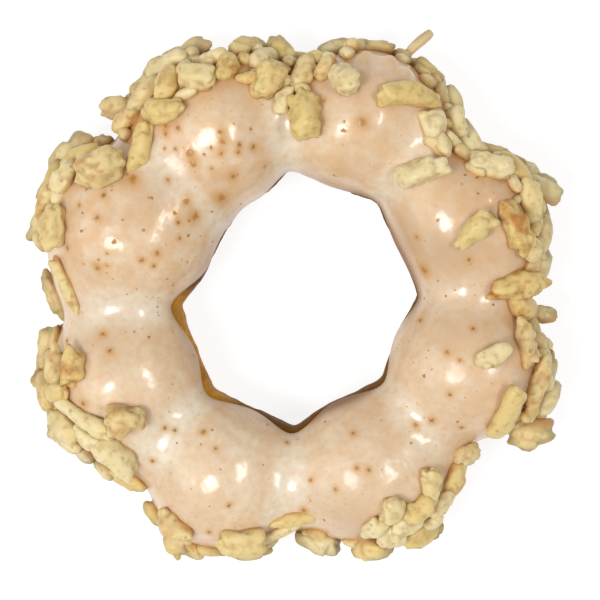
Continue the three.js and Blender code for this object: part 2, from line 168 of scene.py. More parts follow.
# Grains that stand out: where the middle shows (x and y), turn from +X, lift, length and width
MARKED_GRAINS = (
    # on the ball at 73
    (7.1, 41.8, 15, 4, 5.7, 3.3), (13.6, 42.3, -3, 4, 7.7, 2.5), (19.6, 41.7, 52, 72, 6.6, 1.6),
    (5.6, 38.5, 80, 8, 3.7, 3.0), (8.6, 36.2, -55, 6, 6.0, 4.3), (2.6, 30.5, -75, 10, 8.0, 5.0),
    (18.4, 33.8, 8, 4, 10.3, 3.8), (22.4, 38.2, -45, 4, 5.0, 3.3), (26.4, 33.3, -60, 4, 4.7, 3.3),
    (26.8, 29.8, 80, 6, 4.7, 3.3), (22.8, 29.2, -70, 6, 4.7, 3.7), (24.2, 25.7, -55, 14, 5.0, 3.3),
    (29.1, 25.5, -30, 4, 5.3, 3.7), (21.9, 20.8, 14, 6, 7.7, 4.0),
    # on the ball at 27.5
    (35.6, 23.8, -35, 4, 7.7, 3.0), (33.4, 21.5, -8, 6, 7.4, 3.8), (42.2, 18.5, 20, 45, 6.0, 4.0),
    (39.4, 16.5, 88, 8, 6.7, 3.3), (42.1, 12.8, 84, 4, 6.7, 2.5), (30.2, 11.5, 42, 8, 7.4, 3.6),
    (37.2, 11.3, -56, 6, 8.6, 3.7), (39.2, 8.5, -25, 10, 5.3, 3.2), (40.9, 5.7, 60, 6, 4.0, 3.0),
    (36.8, 2.2, -4, 6, 8.7, 4.5),
    # on the ball at 114
    (-29.0, 32.8, 172, 62, 6.6, 3.6), (-25.6, 35.7, 12, 4, 5.3, 3.2), (-22.8, 38.3, 40, 8, 4.3, 3.7),
    (-18.6, 40.7, 18, 4, 7.7, 3.3), (-27.4, 30.5, 10, 6, 6.0, 3.0), (-21.4, 31.3, 0, 6, 6.7, 4.0),
    (-25.6, 25.2, 74, 8, 8.0, 3.0), (-14.8, 39.8, 4, 6, 5.7, 2.8), (-16.4, 36.5, -20, 8, 6.0, 4.3),
    (-11.6, 38.3, 80, 6, 5.2, 3.0), (-9.1, 41.7, 70, 4, 4.7, 3.3), (-6.1, 41.7, 88, 4, 5.0, 3.0),
    (-2.4, 40.5, 80, 20, 6.0, 4.0), (-5.1, 35.8, 60, 8, 6.7, 5.0), (-1.8, 33.0, 75, 8, 5.3, 3.0),
    (1.6, 37.5, 85, 6, 5.7, 3.3),
    # on the ball at 158.5
    (-38.5, 23.5, 42, 14, 7.4, 4.7), (-33.1, 25.2, -5, 4, 4.7, 3.0), (-31.9, 21.0, 12, 3, 7.7, 5.7),
    (-38.6, 19.3, 25, 8, 5.7, 3.7), (-41.4, 15.5, 55, 4, 5.7, 3.3), (-42.6, 13.2, 245, 18, 7.6, 3.0),
    (-39.8, 12.0, 86, 6, 6.8, 4.3), (-38.6, 2.2, 103, 4, 9.7, 2.2), (-40.6, 1.0, 101, 4, 8.3, 3.0),
    # on the ball at 204.5
    (-42.1, -9.2, 88, 4, 7.0, 3.8), (-39.9, -11.3, 88, 6, 6.0, 3.0), (-37.2, -12.2, 80, 6, 6.7, 3.7),
    (-42.9, -15.0, 160, 55, 4.7, 3.3), (-39.4, -16.0, 10, 8, 5.0, 3.3), (-40.6, -19.0, -15, 6, 4.7, 3.0),
    (-35.1, -20.3, -20, 5, 9.7, 3.0), (-28.8, -19.8, 30, 4, 5.7, 5.0), (-39.9, -23.0, 168, 45, 5.0, 3.9),
    (-34.8, -23.3, -32, 10, 5.3, 3.0), (-30.2, -26.0, -52, 6, 8.0, 4.3), (-36.2, -25.8, -12, 6, 4.7, 2.7),
    (-28.1, -30.2, -38, 6, 6.3, 3.0),
    # on the ball at 246.5
    (-23.2, -37.2, -60, 6, 4.0, 3.0), (-19.8, -38.5, -40, 6, 6.7, 3.5), (-20.4, -41.7, -12, 30, 5.6, 3.4),
    (-17.2, -42.3, -22, 8, 5.0, 3.0), (-13.1, -42.8, 0, 6, 3.7, 2.2), (-9.2, -40.5, -8, 6, 7.3, 4.7),
    (-7.4, -42.7, 4, 6, 6.3, 2.8), (-3.1, -39.8, 32, 6, 6.0, 2.3), (-0.8, -37.7, 8, 3, 7.7, 2.2),
    # on the ball at 291.5
    (4.6, -40.2, -8, 6, 6.3, 4.3), (12.6, -41.7, 76, 14, 6.0, 3.7), (15.9, -40.0, 60, 8, 5.0, 3.7),
    (16.1, -35.8, 80, 6, 4.7, 3.8), (20.1, -35.7, 20, 6, 5.0, 3.7), (22.4, -31.3, 108, 8, 6.0, 3.3),
    (26.6, -31.2, 75, 6, 6.0, 3.0), (28.4, -26.7, 8, 8, 5.0, 3.3), (24.6, -34.5, 28, 8, 5.0, 3.0),
    (21.8, -39.8, 4, 6, 7.0, 3.3), (18.3, -38.0, 20, 6, 5.0, 3.8), (13.6, -38.6, 60, 8, 4.6, 3.4),
    # on the ball at 339.5
    (41.9, -4.0, -45, 60, 6.0, 3.2), (39.6, -2.0, -42, 6, 5.3, 2.7), (38.9, -8.2, 85, 6, 7.0, 3.2),
    (41.2, -7.8, 82, 4, 6.7, 2.5), (32.9, -10.0, 25, 10, 5.3, 3.7), (35.4, -19.0, 87, 6, 10.0, 3.5),
    (40.6, -15.2, 80, 6, 9.3, 2.8), (42.8, -13.0, 80, 4, 8.3, 2.5), (40.8, -22.5, -20, 42, 7.6, 4.6),
)
# Where the rice is most toasted, and how far round it
TOASTED_PLACES = (
    (37.2, 11.3), (36.8, 2.2), (-42.9, -15.0), (-28.5, 25.0), (-9.5, 38.0), (-27.0, 32.5), (-36.5, -11.0),
    (28.0, -29.0),
)
TOASTED_REACH = 3.0

# Where shade is painted on the icing as a greyer tan, where it has dried matt, and where light is painted
# on it as a paler colour: where each place shows from above and how strongly, and how far round it
PAINTED_SHADE_PLACES = (
    (25.9, 7.8, 0.7), (18.6, 9.5, 0.7), (25.9, -5.5, 0.4), (9.2, -37.6, 0.5), (-31.2, -6.8, 0.4),
    (-22.4, 17.8, 0.45), (13.4, 35.5, 0.3),
)
PAINTED_SHADE_REACH = 5.5
MATT_PLACES = ((28.0, -11.5, 0.8), (9.6, -30.8, 0.6), (-18.2, 16.2, 0.8), (-19.9, 21.7, 0.7))
MATT_REACH = 3.2
PAINTED_LIGHT_PLACES = ((-9.1, -23.8, 0.6), (-22.8, -18.4, 0.3))
PAINTED_LIGHT_REACH = 5.0

# Rice that has sunk in the icing: where each grain shows from above and how far it lifts the icing
SUNK_GRAINS = (
    (11.7, 40.0, 1.0), (15.9, 39.2, 1.1), (18.6, 37.3, 0.9), (10.4, 37.2, 0.7), (14.2, 36.6, 0.8),
    (21.2, 20.2, 0.4), (33.0, 17.2, 0.4), (3.6, 33.6, 0.4),
)
SUNK_REACH = 1.5

# Spice specks that stand out: where each shows from above and its width
MARKED_SPECKS = (
    # on the ball at 114
    (-12.2, 16.5, 1.7), (-9.6, 37.8, 1.8), (-17.4, 24.0, 1.3), (-16.9, 22.2, 1.1), (-12.0, 26.0, 1.1),
    (-21.4, 28.5, 1.0), (-19.4, 28.2, 1.0), (-21.4, 27.2, 0.9), (-21.6, 24.8, 0.6), (-19.8, 24.7, 0.7),
    (-12.4, 27.5, 0.8), (-9.2, 25.5, 0.8), (-9.4, 24.2, 0.7), (-12.2, 24.0, 0.8), (-6.9, 25.0, 0.9),
    (-10.2, 20.2, 1.1), (-13.8, 21.5, 0.5), (-13.9, 25.0, 0.6), (-4.9, 21.7, 0.4),
    # on the ball at 158.5
    (-26.9, 19.7, 1.6), (-18.1, 16.0, 1.2), (-16.6, 13.5, 1.5), (-21.1, 19.5, 0.7), (-19.9, 14.0, 0.8),
    (-31.8, 17.0, 0.8), (-32.9, 13.2, 0.9), (-30.1, 9.2, 0.8), (-31.2, 7.3, 0.5), (-32.8, 5.0, 1.0),
    (-31.2, 5.3, 0.5), (-25.4, 6.2, 0.8), (-22.8, 7.3, 0.9), (-23.4, 5.2, 0.7), (-19.4, 12.5, 0.7),
    (-35.9, 15.3, 0.6), (-37.8, 8.2, 0.7), (-19.1, 9.8, 0.6),
    # on the ball at 204.5
    (-31.9, -6.2, 0.9), (-35.1, -17.7, 0.9), (-30.8, -9.0, 0.8), (-37.9, -7.3, 0.7),
    # on the ball at 246.5
    (-15.2, -22.5, 0.9), (-21.6, -21.8, 0.8), (-19.9, -22.2, 0.7), (-13.1, -25.2, 0.6), (-23.6, -27.3, 0.7),
    (-10.9, -34.7, 0.7), (-14.2, -39.2, 0.7), (-1.2, -24.2, 0.7),
    # on the ball at 291.5
    (1.6, -35.5, 0.9), (2.8, -30.5, 0.8), (20.2, -21.3, 0.8), (22.9, -20.5, 0.9), (9.8, -22.7, 0.8),
    (10.4, -28.5, 0.8), (12.4, -28.8, 0.8), (6.9, -32.0, 0.7),
    # on the ball at 339.5
    (27.9, -21.7, 0.8), (25.4, -9.2, 0.8), (27.6, -10.5, 0.6), (20.9, -3.8, 0.7), (29.8, -5.3, 0.7),
    (25.9, -16.2, 0.7),
    # on the balls at 27.5 and 73
    (29.1, 6.3, 0.7), (20.4, 10.0, 0.7), (21.6, 4.5, 1.4), (11.4, 29.2, 1.5), (8.2, 27.8, 0.8),
    (4.8, 32.7, 0.7),
)
SPECK_GROWTH = 1.25
SPECK_SIDES = 9
SPECK_UNEVEN = 0.7
# Rings of a speck: their share of its width, their height on a speck 1 mm wide and their share of its dark
# core. Its top is higher
SPECK_RINGS = ((1.0, -0.06, 0.0), (0.5, 0.05, 0.6))
SPECK_TOP = 0.08
# Small specks: the levels and widths they spread over, how rare wide ones are, the share of them that is
# kept near the upper left balls and far from them, and how far they stay from the icing's edge in the hole
SMALL_LEVELS = (35, 165)
SMALL_WIDTHS = (0.4, 0.85)
SMALL_RARITY = 2.2
SMALL_KEPT = (0.85, 0.42)
SMALL_MIDDLE = 140
SMALL_NEAR = (20, 70)
SMALL_CLEAR = 6

# Lights: name, lean from overhead, bearing from +X, then distance, width, height in metres, and power
SOFTBOXES = (
    ("overhead_box", 21, 208, 0.8, 0.28, 0.28, 3.1),
    ("side_window", 31, 5, 0.9, 0.12, 0.36, 1.9),
    ("left_fill", 50, 180, 1.1, 0.6, 1.0, 2.0),
)
ROOM_LIGHT = 0.36
FLOOR_GLOW = 0.84
FLOOR_HALF = 2.0
FLOOR_DROP = 0.0002

FULL_TURN = 360.0
PROBE = 0.5
LATTICE_STRIDES = np.array([73856093, 19349663, 83492791])
LATTICE_SEED = 2654435761
LATTICE_STIR = 1274126177
LATTICE_TOP = 0x7FFFFFFF


def srgb(red, green, blue):
    """Linear colour of an sRGB one given from 0 to 255."""
    share = np.array([red, green, blue]) / 255
    linear = np.where(share <= 0.04045, share / 12.92, ((share + 0.055) / 1.055) ** 2.4)
    return tuple(float(channel) for channel in linear)


def unit(vectors):
    """Vectors of length one."""
    return vectors / np.linalg.norm(vectors, axis=-1, keepdims=True)


def blend(start, end, share):
    """Straight blend from start to end."""
    return start + (end - start) * share


def smooth_step(low, high, value):
    """0 below low, 1 above high and a cubic S between them."""
    share = np.clip((value - low) / (high - low), 0, 1)
    return share * share * (3 - 2 * share)


def swell(share, soft):
    """Rise of a ball above its crease, from 0 to 1: a hyperbola rounds the crease, and a parabola ends flat
    on the ball's middle."""
    rounded = np.sqrt(share * share + soft * soft) - soft
    eased = rounded / (math.sqrt(1 + soft * soft) - soft)
    return 1 - (1 - eased) ** 2


def around(key, angle, soft):
    """A station's value carried round the ring, swelling from each crease to each ball."""
    angles = STATIONS["outside" if key in OUTSIDE_KEYS else "angle"]
    values = STATIONS[key]
    turned = angles[0] + np.mod(angle - angles[0], FULL_TURN)
    here = np.searchsorted(angles, turned, side="right") - 1
    after = (here + 1) % len(angles)
    share = (turned - angles[here]) / np.mod(angles[after] - angles[here], FULL_TURN)
    from_crease = here % 2 == 1
    ball = np.where(from_crease, values[after], values[here])
    crease = np.where(from_crease, values[here], values[after])
    return crease + (ball - crease) * swell(np.where(from_crease, share, 1 - share), soft)


def signed_power(value, exponent):
    """Power that keeps its value's sign."""
    return np.sign(value) * np.abs(value) ** exponent


def surface(angle, level, offset, soft):
    """Point of the surface that lies offset outside the iced one. Its section at an angle round the ring is
    a superellipse, met at level: 0 at the outside, 90 on top and 180 in the hole. The floor flattens it."""
    inner = around("inner", angle, soft)
    outer = around("outer", angle, soft)
    turn = np.radians(level)
    upper = np.sin(turn) >= 0
    exponent = 2 / np.where(upper, UPPER_POWER, LOWER_POWER)
    across = signed_power(np.cos(turn), exponent)
    up = signed_power(np.sin(turn), exponent)
    crest = around("crest", angle, CREST_CREASE)
    reach = np.where(upper, crest + offset - WAIST, WAIST - around("base", angle, soft))
    radius = (inner + outer) / 2 + ((outer - inner) / 2 + offset) * across
    x = RING_CENTRE[0] + radius * np.cos(np.radians(angle))
    y = RING_CENTRE[1] + radius * np.sin(np.radians(angle))
    return np.stack(np.broadcast_arrays(x, y, np.maximum(0, WAIST + reach * up)), axis=-1)


def iced(angle, level, offset=0.0):
    """Point that lies offset outside the iced surface."""
    return surface(angle, level, offset, ICING_CREASE)


def surface_frame(angle, level):
    """Point of the iced surface, its outward direction and the direction along the ring, by differences."""
    along = unit(iced(angle + PROBE, level) - iced(angle - PROBE, level))
    over = iced(angle, level + PROBE) - iced(angle, level - PROBE)
    return iced(angle, level), unit(np.cross(along, over)), along


def level_at_radius(angle, radius, offset):
    """Level, on the upper side, of the surface that lies offset outside the iced one, at a distance from
    the ring's centre."""
    inner = around("inner", angle, ICING_CREASE) - offset
    outer = around("outer", angle, ICING_CREASE) + offset
    share = np.clip((2 * radius - inner - outer) / (outer - inner), -1, 1)
    return np.degrees(np.arccos(signed_power(share, UPPER_POWER / 2)))


def rim_level(angle):
    """Level of the icing's outer edge."""
    return RIM_LEVEL + RIM_WAVE * np.sin(np.radians(RIM_WAVES * angle))


def hole_level(angle):
    """Level of the icing's edge in the hole."""
    return 180 - around("bare", angle, EDGE_CREASE)


def dough_offset(angle, level):
    """How far the dough lies from the iced surface: the icing's depth under it, and close to it where the
    dough is bare, past the icing's edges. Levels run from -90 to 270."""
    past_hole = smooth_step(*SHOULDER_LEVELS, level - hole_level(angle))
    past_rim = smooth_step(*SHOULDER_LEVELS, rim_level(angle) - level)
    return SHOULDER * np.maximum(past_hole, past_rim) - ICING_DEPTH


def view_axes(lean, bearing):
    """Directions of a view at a lean from overhead and a bearing from +X: right, up the picture, back."""
    back = np.array([np.sin(lean) * np.cos(bearing), np.sin(lean) * np.sin(bearing), np.cos(lean)])
    right = unit(np.cross([0, 1, 0], back))
    return right, np.cross(back, right), back


def sight_at(x, y, height):
    """Place, from the middle of the ring's waist, where the sight line of what shows at x and y is at a
    height."""
    right, over, back = view_axes(*np.radians([EYE_LEAN, EYE_BEARING]))
    eye = EYE_DISTANCE * back
    shown = np.multiply.outer(x - RING_CENTRE[0], right) + np.multiply.outer(y - RING_CENTRE[1], over)
    share = (height - eye[2]) / (shown[..., 2] - eye[2])
    return eye + (shown - eye) * share[..., None]


def where_shown(x, y, stand):
    """Angle and level of what stands out from the iced surface and shows at x and y. Each step goes half of
    the way to the height of the surface there, because that height falls off steeply at the rim."""
    height = 0.0
    for _ in range(SIGHT_STEPS):
        sight = sight_at(x, y, height)
        angle = np.degrees(np.arctan2(sight[..., 1], sight[..., 0]))
        level = level_at_radius(angle, np.hypot(sight[..., 0], sight[..., 1]), stand)
        height = (height + iced(angle, level, stand)[..., 2] - WAIST) / 2
    return angle, level


def shown_places(rows):
    """Angles and levels of places on the iced surface that show at a row's x and y, and its third value."""
    x, y, value = np.array(rows).T
    return *where_shown(x, y, 0), value


def chance(item, quality):
    """Repeatable number from 0 to 1 for an item and a quality of it: the fraction of a fast sine."""
    return np.mod(np.sin(item * CHANCE_GRAIN + quality * CHANCE_QUALITY) * CHANCE_SCALE, 1)


def lattice_noise(points, size, seed):
    """Smooth noise from -1 to 1: a repeatable value at each corner of a cubic lattice of that size, blended
    between the corners by cubic S weights."""
    place = points / size
    corner = np.floor(place).astype(np.int64)
    share = place - corner
    weight = share * share * (3 - 2 * share)
    total = np.zeros(points.shape[:-1])
    for step in np.ndindex(2, 2, 2):
        cell = (corner + np.array(step)) * LATTICE_STRIDES
        mixed = np.bitwise_xor.reduce(cell, axis=-1) ^ seed * LATTICE_SEED
        mixed = (mixed ^ (mixed >> 13)) * LATTICE_STIR & LATTICE_TOP
        value = (mixed ^ (mixed >> 16)) / (LATTICE_TOP // 2) - 1
        total += value * np.prod(np.where(step, weight, 1 - weight), axis=-1)
    return total


def layered_noise(points, layers):
    """Sum of noises, each given by its size, share and seed."""
    return sum(share * lattice_noise(points, size, seed) for size, share, seed in layers)


def mesh_piece(name, points, faces, material, node, attributes):
    """Smooth mesh object at the origin from points in millimetres and arrays of faces. It rides with the
    doughnut, takes its node's place and carries one number per point for each attribute."""
    mesh = bpy.data.meshes.new(name)
    corners = np.concatenate([block.ravel() for block in faces])
    sizes = np.concatenate([np.full(len(block), block.shape[1]) for block in faces])
    mesh.vertices.add(points.size // 3)
    mesh.vertices.foreach_set("co", (points * MM).ravel())
    mesh.loops.add(len(corners))
    mesh.loops.foreach_set("vertex_index", corners)
    mesh.polygons.add(len(sizes))
    mesh.polygons.foreach_set("loop_start", np.concatenate([[0], np.cumsum(sizes)[:-1]]))
    mesh.update(calc_edges=True)
    if mesh.validate():
        raise RuntimeError(f"{name} has faces that can't be drawn")
    mesh.shade_smooth()
    for key, values in attributes.items():
        mesh.attributes.new(key, "FLOAT", "POINT").data.foreach_set("value", values.ravel())
    mesh.materials.append(material)
    piece = bpy.data.objects.new(name, mesh)
    bpy.context.scene.collection.objects.link(piece)
    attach(piece, "root")
    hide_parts(node)


def tube_faces(rows, columns):
    """Quads between rows of points that each close into a ring."""
    row, column = np.meshgrid(np.arange(rows - 1) * columns, np.arange(columns), indexing="ij")
    after = (column + 1) % columns
    corners = [row + column, row + after, row + columns + after, row + columns + column]
    return np.stack(corners, axis=-1).reshape(-1, 4)


def ring_faces(rows, columns):
    """Quads of a grid that is closed both round the ring and round its section."""
    return tube_faces(rows + 1, columns)[:, [0, 3, 2, 1]] % (rows * columns)


def fan_faces(ring, tip):
    """Triangles from a ring of points to a tip."""
    return np.stack([ring, np.roll(ring, -1), np.full(len(ring), tip)], axis=-1)


def copied_faces(blocks, count, size, first=0):
    """Faces of many items of size points each, the first at a point, from the faces of one."""
    shift = first + (np.arange(count) * size)[:, None, None]
    return [(block + shift).reshape(-1, block.shape[1]) for block in blocks]


class Nodes:
    """Short hand for a material's node tree, whose colour is laid in layers."""

    def __init__(self, name, colour):
        self.material = bpy.data.materials.new(name)
        self.material.use_nodes = True
        self.tree = self.material.node_tree
        self.shader = self.tree.nodes["Principled BSDF"]
        self.object = self.add("ShaderNodeTexCoord").outputs["Object"]
        self.colour = colour

    def add(self, kind, settings=None, **inputs):
        """New node with its settings and inputs, which are values or other nodes' outputs."""
        made = self.tree.nodes.new(kind)
        for key, value in (settings or {}).items():
            setattr(made, key, value)
        for key, value in inputs.items():
            self.put(made.inputs[key.replace("_", " ")], value)
        return made

    def put(self, socket, value):
        """Links an output to a socket, or sets the socket's value."""
        if isinstance(value, bpy.types.NodeSocket):
            self.tree.links.new(value, socket)
        elif hasattr(value, "__len__") and len(value) == 3 and len(socket.default_value) == 4:
            socket.default_value = (*value, 1)
        else:
            socket.default_value = value

    def shade(self, **inputs):
        """Sets the shader's inputs and gives the material."""
        for key, value in {"Base_Color": self.colour, **inputs}.items():
            self.put(self.shader.inputs[key.replace("_", " ")], value)
        return self.material

    def attribute(self, name):
        """A number that the mesh carries."""
        return self.add("ShaderNodeAttribute", {"attribute_name": name}).outputs["Fac"]

    def noise(self, size, detail):
        """Noise whose lumps are about size millimetres wide."""
        made = self.add("ShaderNodeTexNoise", Vector=self.object, Scale=1 / (size * MM), Detail=detail)
        return made.outputs["Fac"]

    def cells(self, size, feature="F1"):
        """Voronoi cells about size millimetres wide."""
        scale = 1 / (size * MM)
        return self.add("ShaderNodeTexVoronoi", {"feature": feature}, Vector=self.object, Scale=scale)

    def dots(self, size, whole, gone, fewest, most):
        """Dots in cells of a size: whole and gone at those distances from the middle, in cells drawn past
        fewest to most."""
        cells = self.cells(size)
        draw = self.add("ShaderNodeSeparateColor", Color=cells.outputs["Color"])
        return self.times(self.spread(cells.outputs["Distance"], whole, gone, 1, 0),
                          self.spread(draw.outputs["Red"], fewest, most))

    def spread(self, value, low, high, start=0.0, end=1.0):
        """Maps low to start and high to end, clamped."""
        made = self.add("ShaderNodeMapRange", Value=value, From_Min=low, From_Max=high, To_Min=start,
                        To_Max=end)
        return made.outputs["Result"]

    def times(self, first, second, way="MULTIPLY"):
        """Product of two numbers, or their sum."""
        made = self.add("ShaderNodeMath", {"operation": way})
        self.put(made.inputs[0], first)
        self.put(made.inputs[1], second)
        return made.outputs["Value"]

    def mix(self, share, first, second):
        """Colour from first to second by share."""
        made = self.add("ShaderNodeMix", {"data_type": "RGBA"})
        self.put(made.inputs["Factor"], share)
        self.put(made.inputs[6], first)
        self.put(made.inputs[7], second)
        return made.outputs[2]

    def layer(self, colour, share, amount=1.0):
        """Lays a colour over the others by an amount of a share: an output, or the name of an attribute."""
        if isinstance(share, str):
            share = self.attribute(share)
        if amount < 1:
            share = self.times(share, amount)
        self.colour = self.mix(share, self.colour, colour)

    def bump(self, height, depth, strength, normal=None):
        """Bump of a height, depth in millimetres, over an earlier one."""
        made = self.add("ShaderNodeBump", Height=height, Distance=depth * MM, Strength=strength)
        if normal:
            self.put(made.inputs["Normal"], normal)
        return made.outputs["Normal"]


def colour_setting(name, description, *levels):
    """Setting for a colour, whose sRGB default is given from 0 to 255."""
    return FloatVectorProperty(name=name, description=description, subtype="COLOR", size=3,
                               default=srgb(*levels))


def count_setting(name, description, default, least):
    """Setting for a whole number."""
    return IntProperty(name=name, description=description, default=default, min=least)


def size_setting(name, description, default, least):
    """Setting for a size that a piece is made by."""
    return FloatProperty(name=name, description=description, default=default, min=least)


class DoughProperties(bpy.types.PropertyGroup):
    """Sizes and colours of the fried dough."""

    rows: count_setting("Rows", "Sections round the ring", 560, 64)
    columns: count_setting("Columns", "Points round a section", 96, 24)
    blister: size_setting("Blister", "Height of the crust's blisters, in millimetres", 0.16, 0)
    crust: colour_setting("Crust", "Fried crust", 178, 118, 38)
    pale: colour_setting("Pale band", "Dough round the waist that floats above the oil", 206, 154, 78)
    # Painted light: golden on the lit side of the hole
    gold: colour_setting("Golden wall", "Dough in the hole", 212, 152, 52)
    # Dark patches, and also painted shade round the rest of the hole
    dark: colour_setting("Dark patches", "Most fried patches", 106, 68, 12)


class IcingProperties(bpy.types.PropertyGroup):
    """Sizes and colours of the icing."""

    rows: count_setting("Rows", "Sections round the ring", 640, 64)
    columns: count_setting("Columns", "Points over a section", 110, 24)
    lip: size_setting("Lip", "Width of the rounded edge, in millimetres", 1.2, 0.1)
    wobble: size_setting("Wobble", "Height of the uneven set, in millimetres", 0.14, 0)
    crest: colour_setting("Crest", "Thin icing over the balls", 231, 198, 158)
    # Also painted light: paler on the lower side and at the lit places
    pool: colour_setting("Pool", "Thick icing in the creases", 233, 219, 195)
    # Also painted shade towards +X and painted warm light off the golden hole side
    blush: colour_setting("Blush", "Patches where the crust shows through", 213, 172, 126)
    # Painted shade: a greyer tan where the icing lies in shade
    dull: colour_setting("Dull", "Places where the crust dulls the icing", 196, 164, 130)
    # Also painted shade: how dark the icing is painted in the hole and down the flank
    edge: colour_setting("Edge", "Thin icing along its edges", 134, 84, 24)
    stain: colour_setting("Stain", "Icing stained round spice", 204, 148, 74)


class RiceProperties(bpy.types.PropertyGroup):
    """Shape and colours of the crisped rice."""

    sides: count_setting("Sides", "Points round a grain that stands out", 24, 5)
    rings: count_setting("Rings", "Rings along a grain that stands out", 16, 3)
    filler_sides: count_setting("Filler sides", "Points round any other grain", 10, 5)
    filler_rings: count_setting("Filler rings", "Rings along any other grain", 6, 3)
    fillers: count_setting("Filler tries", "Places tried for smaller grains in the gaps", 1400, 0)
    lump: size_setting("Lump", "Height of a grain's bulges over its size", 0.32, 0)
    pale: colour_setting("Pale", "Puffed white of the grain", 234, 219, 173)
    gold: colour_setting("Gold", "Golden grains", 226, 199, 130)
    # Also painted shade at the bottoms of uncoated grains
    toast: colour_setting("Toast", "Toasted patches", 190, 128, 54)
    # Painted shade in the grains' creases, and the colour of their darker pits
    shade: colour_setting("Shade", "Pits, creases and feet of the grains", 164, 120, 58)
    dust: colour_setting("Dust", "Spice stuck to the grains", 140, 96, 44)
    # Painted shade on low sides that face away from above
    side: colour_setting("Side", "Sides that face away from above", 166, 146, 98)
    coat: colour_setting("Coat", "Icing that has climbed a grain", 222, 190, 148)


class SpiceProperties(bpy.types.PropertyGroup):
    """Number and colours of the spice specks."""

    count: count_setting("Count", "Small specks tried over the icing", 300, 0)
    dark: colour_setting("Dark", "Dark specks", 112, 86, 48)
    warm: colour_setting("Warm", "Warm specks", 178, 118, 46)
    edge: colour_setting("Edge", "Stained icing at a speck's edge", 210, 164, 108)


class StageProperties(bpy.types.PropertyGroup):
    """Camera and floor."""

    distance: FloatProperty(name="Distance", description="Camera's distance from the ring",
                            default=EYE_DISTANCE * MM, unit="LENGTH")
    width: FloatProperty(name="Width", description="Width of what the camera sees at the ring", default=0.1,
                         unit="LENGTH")
    tilt: FloatProperty(name="Tilt", description="Camera's lean from straight overhead",
                        default=math.radians(EYE_LEAN), subtype="ANGLE")
    bearing: FloatProperty(name="Bearing", description="Side that the camera leans to, from +X",
                           default=math.radians(EYE_BEARING), subtype="ANGLE")
    floor: FloatVectorProperty(name="Floor", description="Pale floor", subtype="COLOR", size=3,
                               default=(0.24, 0.24, 0.24))


def dough_points(settings):
    """Dough ring: the iced surface moved in by the icing's depth, with sharper creases and blisters of two
    noises that fade out where it rests."""
    angle = np.linspace(0, FULL_TURN, settings.rows, endpoint=False)[:, None]
    level = np.linspace(-90, 270, settings.columns, endpoint=False)[None, :]
    points = surface(angle, level, dough_offset(angle, level), DOUGH_CREASE)
    relief = layered_noise(points, BLISTERS)
    outward = unit(surface(angle, level, 0, DOUGH_CREASE) - surface(angle, level, -1, DOUGH_CREASE) + 1e-9)
    lifted = smooth_step(*BLISTERS_RISE, points[..., 2])
    points = points + outward * (settings.blister * relief * lifted)[..., None]
    points[..., 2] = np.maximum(points[..., 2], 0)
    return points, angle


def dough_material(settings):
    """Fried crust: brown with darker patches, a pale band round the waist, its hole side painted golden as
    light over the lit angles and painted dark as shade round the rest, fine pores and a little oil.
    """
    made = Nodes("fried_crust", settings.crust)
    patches = made.spread(made.noise(7, 4), 0.4, 0.7)
    grain = made.spread(made.noise(0.9, 3), 0.35, 0.7)
    made.layer(settings.pale, "band")
    # painted light: golden on the lit side of the hole
    made.layer(settings.gold, "wall")
    made.layer(settings.dark, patches, 0.45)
    made.layer(settings.dark, grain, 0.3)
    # painted shade: darker round the rest of the hole
    made.layer(settings.dark, "fried", 0.85)
    pores = made.bump(made.noise(0.5, 4), 0.25, 0.5)
    return made.shade(Roughness=made.spread(grain, 0, 1, 0.55, 0.75), Specular_IOR_Level=0.12,
                      Normal=made.bump(made.noise(1.6, 3), 0.5, 0.4, pores))


class DOUGHNUT_OT_dough(bpy.types.Operator):
    """Add the fried dough ring"""

    bl_idname = "doughnut.dough"
    bl_label = "Dough"

    def execute(self, context):
        settings = context.scene.doughnut_dough
        points, angle = dough_points(settings)
        outside = np.arange(settings.columns) < settings.columns / 2
        # the hole is painted golden as light over these angles and dark as shade round the rest
        golden = smooth_step(*LIT_WALL_STARTS, angle) * smooth_step(*LIT_WALL_ENDS, angle)
        height = points[..., 2]
        attributes = {"band": np.exp(-((height - PALE_BAND_HEIGHT) / PALE_BAND_WIDTH) ** 2) * outside,
                      "wall": golden * smooth_step(*LIT_WALL_RISES, height) * ~outside,
                      "fried": (1 - golden) * np.ones(height.shape) * ~outside}
        faces = [ring_faces(settings.rows, settings.columns)]
        mesh_piece("dough_crust", points, faces, dough_material(settings), "dough", attributes)
        return {"FINISHED"}


def icing_bells(points, places, reach):
    """How far the icing has changed: a bell of a reach round each place, the strongest of them."""
    angle, level, strength = shown_places(places)
    away = np.stack([np.linalg.norm(points - middle, axis=-1) for middle in iced(angle, level)])
    return np.max(strength.reshape(-1, *[1] * (away.ndim - 1)) * np.exp(-((away / reach) ** 2)), axis=0)


def icing_set(points, settings):
    """Height of the icing's uneven set at points of the iced surface: broad and small swells of noise, and
    a bell over each sunk grain."""
    sunk = icing_bells(points, SUNK_GRAINS, SUNK_REACH)
    return settings.wobble * layered_noise(points, SWELLS) + sunk


def on_icing(angle, level, settings):
    """Point of the icing as it has set."""
    return iced(angle, level, icing_set(iced(angle, level), settings))


